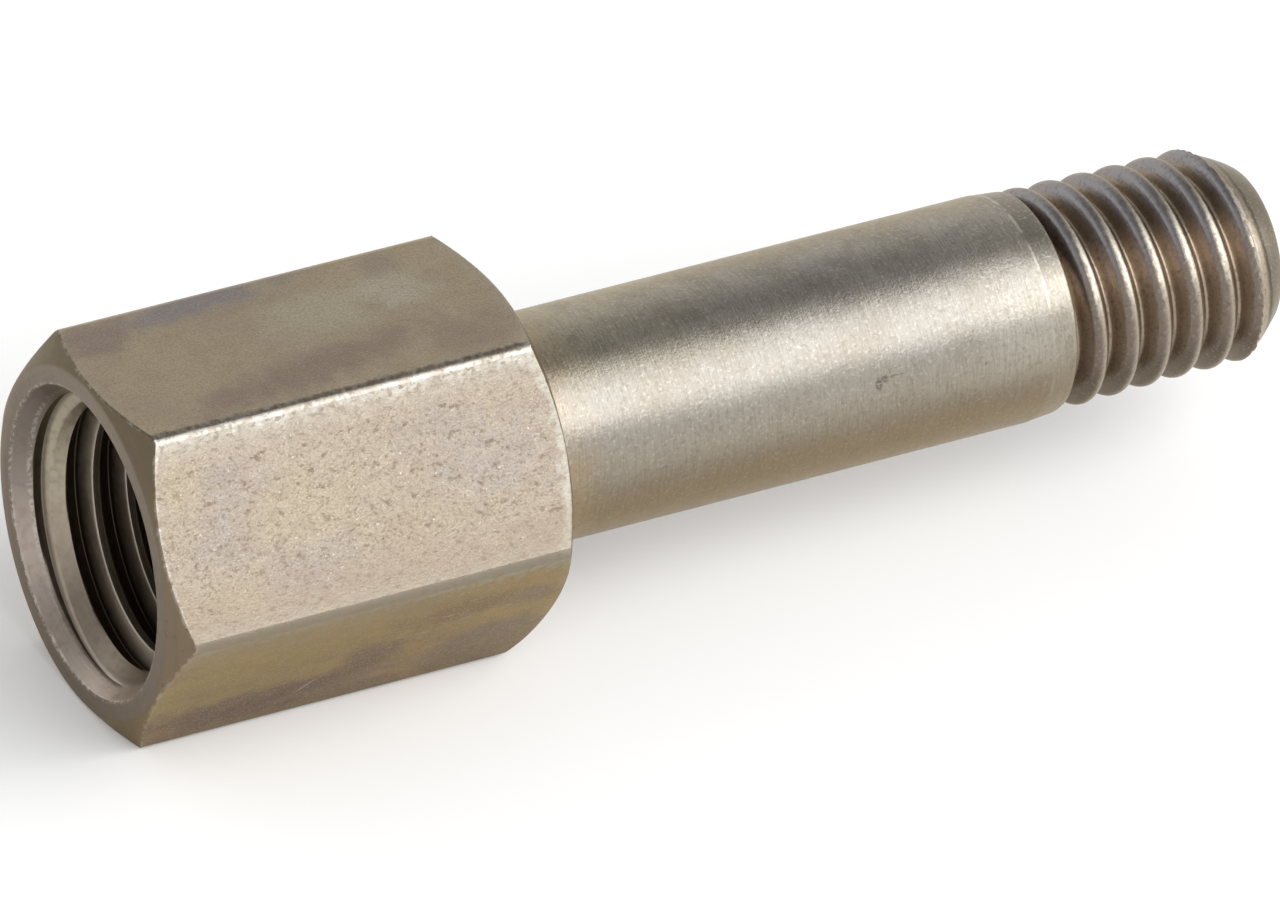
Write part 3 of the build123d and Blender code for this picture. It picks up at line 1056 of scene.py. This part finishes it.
# %% floor
floor_gap = 0.00002
paper_glow = 0.08
bpy.ops.mesh.primitive_plane_add(size=8, location=(0, 0, -across_flats / 2000 - floor_gap))
floor = bpy.context.object
floor.name = "studio_floor"
paper = bpy.data.materials.new("white_paper")
paper.use_nodes = True
tree = paper.node_tree
matt = tree.nodes["Principled BSDF"]
matt.inputs["Base Color"].default_value = (0.9, 0.9, 0.9, 1)
matt.inputs["Roughness"].default_value = 1
matt.inputs["Specular IOR Level"].default_value = 0
matt.inputs["Emission Color"].default_value = (1, 1, 1, 1)
ray = add(tree, "ShaderNodeLightPath", {}).outputs
seen = ray["Is Camera Ray"]
for kind in ("Is Glossy Ray", "Is Transmission Ray"):
    seen = add(tree, "ShaderNodeMath", {0: seen, 1: ray[kind]}, operation="MAXIMUM").outputs[0]
glow = add(tree, "ShaderNodeMath", {0: seen, 1: paper_glow}, operation="MULTIPLY").outputs[0]
tree.links.new(glow, matt.inputs["Emission Strength"])
floor.data.materials.append(paper)
print("paper glows", paper_glow)

# %% [markdown]
# A studio tent is bright around the sides and darker overhead, which draws the dark band along the top of
# the shank. A photographed surround would bring a picture file with it. A colour ramp on the height of each
# direction makes the same tent from five greys.

# %% world
world = bpy.data.worlds.new("studio")
bpy.context.scene.world = world
world.use_nodes = True
tree = world.node_tree
direction = add(tree, "ShaderNodeTexCoord", {}).outputs["Generated"]
height = add(tree, "ShaderNodeSeparateXYZ", {0: direction}).outputs["Z"]
sky = add(tree, "ShaderNodeValToRGB", {0: height})
stops = sky.color_ramp.elements
for place, level in ((0.45, 1.05), (0.6, 0.88), (0.85, 0.36)):
    stops.new(place).color = (level, level, level, 1)
stops[0].color = (1.1, 1.1, 1.1, 1)
stops[-1].color = (0.3, 0.3, 0.3, 1)
tree.links.new(sky.outputs[0], tree.nodes["Background"].inputs[0])
print("tent of", len(stops), "greys")

# %% [markdown]
# One softbox in front and above lays the bright band along the shank and lights the front flat. It is wide,
# because bare metal mirrors its lamp, and a small one would show as a hard spot. The camera doesn't see it.

# %% softbox
lamp_distance = 0.6


def area_lamp(name, heading, width, height, watts):
    """Stands a rectangular lamp in one direction from the part and turns it to the middle."""
    heading = Vector(heading).normalized()
    bpy.ops.object.light_add(type="AREA", location=heading * lamp_distance)
    lamp = bpy.context.object
    lamp.name = name
    lamp.data.shape = "RECTANGLE"
    lamp.data.size = width
    lamp.data.size_y = height
    lamp.data.energy = watts
    lamp.rotation_euler = (-heading).to_track_quat("-Z", "Y").to_euler()
    lamp.visible_camera = False
    print(name, watts, "W")


area_lamp("softbox", (0.411, -0.62, 0.67), width=0.75, height=0.5, watts=2.8)

# %% [markdown]
# The photo shows a bright side on each ridge of the stud, away from the socket. So a smaller lamp stands
# beyond the stud and lights the far side of each ridge and the bevelled end. It stands so far round that
# the flats, as the camera sees them, hardly pick it up.

# %% side lamp
area_lamp("side_lamp", (0.9, -0.27, 0.35), width=0.4, height=0.4, watts=0.9)

# %% [markdown]
# The camera stands where the photographer stood, in front of the socket's end and above it, with a long
# lens that keeps the hexagon's edges almost parallel. Its turn, height and roll were fitted to the corners
# of the hexagon. A camera that only tracks a target stays level, and this one has a slight roll, so its
# three directions are worked out here.

# %% camera
target = Vector((0.016657, -0.000424, -0.001308))
azimuth, elevation, roll, distance = radians(-29.757), radians(34.092), radians(3.342), 0.60576
forward = Vector((-sin(azimuth) * cos(elevation), cos(azimuth) * cos(elevation), -sin(elevation)))
side = forward.cross(Vector((0, 0, 1))).normalized()
above = side.cross(forward)
right = side * cos(roll) + above * sin(roll)
up = above * cos(roll) - side * sin(roll)
camera = bpy.data.objects.new("camera", bpy.data.cameras.new("camera"))
bpy.context.collection.objects.link(camera)
place = target - forward * distance
camera.matrix_world = Matrix(
    (
        (right.x, up.x, -forward.x, place.x),
        (right.y, up.y, -forward.y, place.y),
        (right.z, up.z, -forward.z, place.z),
        (0, 0, 0, 1),
    )
)
camera.data.sensor_width = 36
camera.data.lens = 632.3
camera.data.clip_start = 0.01
camera.data.clip_end = 20
bpy.context.scene.camera = camera
bpy.context.scene.view_settings.view_transform = "Standard"
print("camera", round(distance, 3), "m away")
